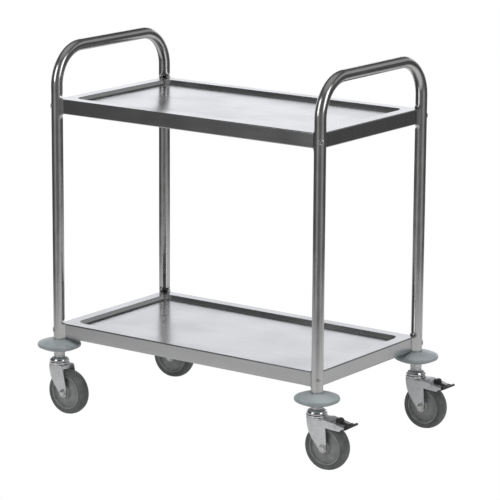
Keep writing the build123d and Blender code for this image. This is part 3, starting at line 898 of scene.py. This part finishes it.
def makeCasters():
    for corner in corners:
        swivel, axle = casterPlaces(corner)
        stem = stemMesh("stem_" + corner, swivel)
        newPiece("stem_collar_" + corner, stem, "zinc", "frame", ["stem_" + corner])
        for level, body in (("upper", "frame"), ("lower", "caster_" + corner)):
            node = level + "_race_" + corner
            race = raceMesh(node, swivel, level == "upper")
            newPiece(level + "_ring_" + corner, race, "chrome", body, [node], sharp=60)
        makeSoftened(forkParts, corner)
        wheel = "wheel_" + corner
        core = coreMesh(axle)
        newPiece("wheel_centre_" + corner, core, "wheel", wheel, ["wheel_core_" + corner], sharp=55)
        tyre = tyreMesh(axle)
        newPiece("tyre_ring_" + corner, tyre, "tyre", wheel, ["tyre_" + corner], sharp=60)
        if corner in braked:
            makeSoftened(brakeParts, corner)
    print("casters made")


makeCasters()


# carried-over nodes keep their shape and get a finish
carried = {"shelf_nuts": "bolt", "corner_plates": "zinc", "swivel_balls": "chrome"}
for corner in corners:
    carried["expander_" + corner] = "sleeve"
    carried["axle_bush_" + corner] = "bolt"
for node, finish in carried.items():
    piece = frame["nodes"][node]
    for slot in piece.material_slots:
        slot.material = finishes[finish]
    if not piece.material_slots:
        piece.data.materials.append(finishes[finish])
print("carried nodes finished:", len(carried))


studio = {
    "floorRadius": 2.8, "floorSolid": 1.05, "floorFade": 1.95, "floorGrey": 0.36, "floorGlow": 0.33,
    "floorCentre": (0.0, 0.30), "floorDrop": 0.0005, "sky": 0.095, "wallTint": rgb(0.955, 0.965, 1.0),
}


def makeFloor():
    # a pale round sheet, solid under the cart and fading into the white surround
    mesh = bpy.data.meshes.new("studioFloor")
    bm = bmesh.new()
    bmesh.ops.create_circle(bm, cap_ends=True, segments=96, radius=studio["floorRadius"])
    bm.to_mesh(mesh)
    bm.free()
    floor = bpy.data.objects.new("studioFloor", mesh)
    bpy.context.scene.collection.objects.link(floor)
    finish = Finish("floorPaper", {
        "Roughness": 0.9, "Base Color": rgb(*[studio["floorGrey"]] * 3), "Emission Color": rgb(1, 1, 1),
        "Emission Strength": studio["floorGlow"],
    })
    tree = finish.tree
    x, y = finish.place().parts()[:2]
    x = x - studio["floorCentre"][0]
    y = y - studio["floorCentre"][1]
    solid = (x * x + y * y).power(0.5).step(studio["floorFade"], studio["floorSolid"])
    tree.links.new(solid.socket, finish.shader.inputs["Alpha"])
    # seen directly it is the same white as the surround; its shading shows only in what it lights
    white = addNode(tree, "ShaderNodeEmission", None, {"Color": rgb(1, 1, 1), "Strength": 1.0})
    direct = addNode(tree, "ShaderNodeLightPath", None, None, "Is Camera Ray")
    paper = Wire(tree, finish.shader.outputs[0])
    mixed = addNode(tree, "ShaderNodeMixShader", None, {0: direct, 1: paper, 2: white})
    end = next(node for node in tree.nodes if node.type == "OUTPUT_MATERIAL")
    tree.links.new(mixed.socket, end.inputs["Surface"])
    mesh.materials.append(finish.material)
    floor.location.z = -studio["floorDrop"]


# heading, half width, softness (degrees); lowest and highest sine of elevation, softness; strength
roomPatches = (
    (-36, 34, 22, -0.02, 0.30, 0.10, 1.26),     # pale wall behind the cart
    (35, 18, 20, 0.28, 0.52, 0.12, 0.34),       # its upper right, dimmer
    (0, 180, 10, 0.93, 1.10, 0.20, 0.30),       # ceiling
    (191, 9, 19, -0.32, 0.62, 0.12, 0.27),      # tall light at the left of the camera
    (97, 9, 22, -0.32, 0.62, 0.12, 0.27),       # tall light at the right of the camera
    (144, 12, 34, -0.40, 0.10, 0.15, 0.06),     # pale ground towards the camera
)


def makeSurround():
    # white behind the cart, and a dim room with soft bright patches for everything that reflects
    world = bpy.data.worlds.new("studio")
    bpy.context.scene.world = world
    world.use_nodes = True
    tree = world.node_tree
    tree.nodes.clear()
    direction = addNode(tree, "ShaderNodeTexCoord", None, None, "Generated")
    x, y, z = direction.parts()
    heading = y.math("ARCTAN2", x, y) * (180 / math.pi)      # 0 looks along +Y, 90 along +X
    seenByCamera = addNode(tree, "ShaderNodeLightPath", None, None, "Is Camera Ray")
    level = studio["sky"]
    masks = []
    for centre, half, soft, lowZ, highZ, softZ, power in roomPatches:
        turned = (heading - centre + 540).math("MODULO", heading - centre + 540, 360)
        off = abs(turned - 180)
        across = off.step(half + soft, half)
        masks.append(across * z.step(lowZ - softZ, lowZ) * z.step(highZ + softZ, highZ) * power)
    light = sum(masks, level)
    # the pale wall is slightly blue
    tint = mixColour(tree, masks[0] / light, rgb(1, 1, 1), studio["wallTint"])
    room = addNode(tree, "ShaderNodeBackground", None, {"Color": tint, "Strength": light})
    white = addNode(tree, "ShaderNodeBackground", None, {"Color": rgb(1, 1, 1), "Strength": 1.0})
    end = tree.nodes.new("ShaderNodeOutputWorld")
    mixed = addNode(tree, "ShaderNodeMixShader", None, {0: seenByCamera, 1: room, 2: white})
    tree.links.new(mixed.socket, end.inputs["Surface"])


def softLight(name, place, target, size, power, reflected):
    data = bpy.data.lights.new(name, "AREA")
    data.shape = "RECTANGLE"
    data.size, data.size_y = size
    data.energy = power
    light = bpy.data.objects.new(name, data)
    bpy.context.scene.collection.objects.link(light)
    light.location = place
    light.rotation_euler = (Vector(target) - Vector(place)).to_track_quat("-Z", "Y").to_euler()
    light.visible_camera = False
    light.visible_glossy = reflected


# place, point aimed at, size (metres), power (watts), whether reflections show it
lights = {
    "overhead": ((0.0, 0.0, 3.2), (0, 0, 0.4), (3.2, 2.6), 92, False),
    "leftFront": ((-0.75, -3.10, 1.9), (0, 0, 0.5), (1.3, 2.2), 22, True),
    "rightFront": ((3.15, -0.30, 1.9), (0, 0, 0.5), (1.3, 2.2), 20, True),
}

cameraSizes = {
    "azimuth": 35.798, "elevation": 12.820, "roll": 0.3575, "distance": 5.8751, "lens": 194.76,
    "sensor": 36, "clipEnd": 50, "aside": 0.02847, "height": 0.37993,
}


def makeCamera():
    s = cameraSizes
    a = math.radians(s["azimuth"])
    e = math.radians(s["elevation"])
    r = math.radians(s["roll"])
    low, high = boxOf("upper_shelf")
    middle = Vector(((low.x + high.x) / 2, (low.y + high.y) / 2, 0))
    right = Vector((math.cos(a), math.sin(a), 0))
    forward = Vector((-math.sin(a) * math.cos(e), math.cos(a) * math.cos(e), -math.sin(e)))
    up = right.cross(forward)
    target = middle + right * s["aside"] + Vector((0, 0, s["height"]))
    rolledRight = right * math.cos(r) + up * math.sin(r)
    rolledUp = up * math.cos(r) - right * math.sin(r)
    data = bpy.data.cameras.new("camera")
    data.lens = s["lens"]
    data.sensor_width = s["sensor"]
    data.clip_end = s["clipEnd"]
    camera = bpy.data.objects.new("camera", data)
    bpy.context.scene.collection.objects.link(camera)
    turn = Matrix((rolledRight, rolledUp, -forward)).transposed().to_4x4()
    camera.matrix_world = Matrix.Translation(target - forward * s["distance"]) @ turn
    bpy.context.scene.camera = camera


makeFloor()
makeSurround()
for name, values in lights.items():
    softLight(name, *values)
makeCamera()
bpy.context.scene.view_settings.view_transform = "Standard"
print("floor, light and camera made")
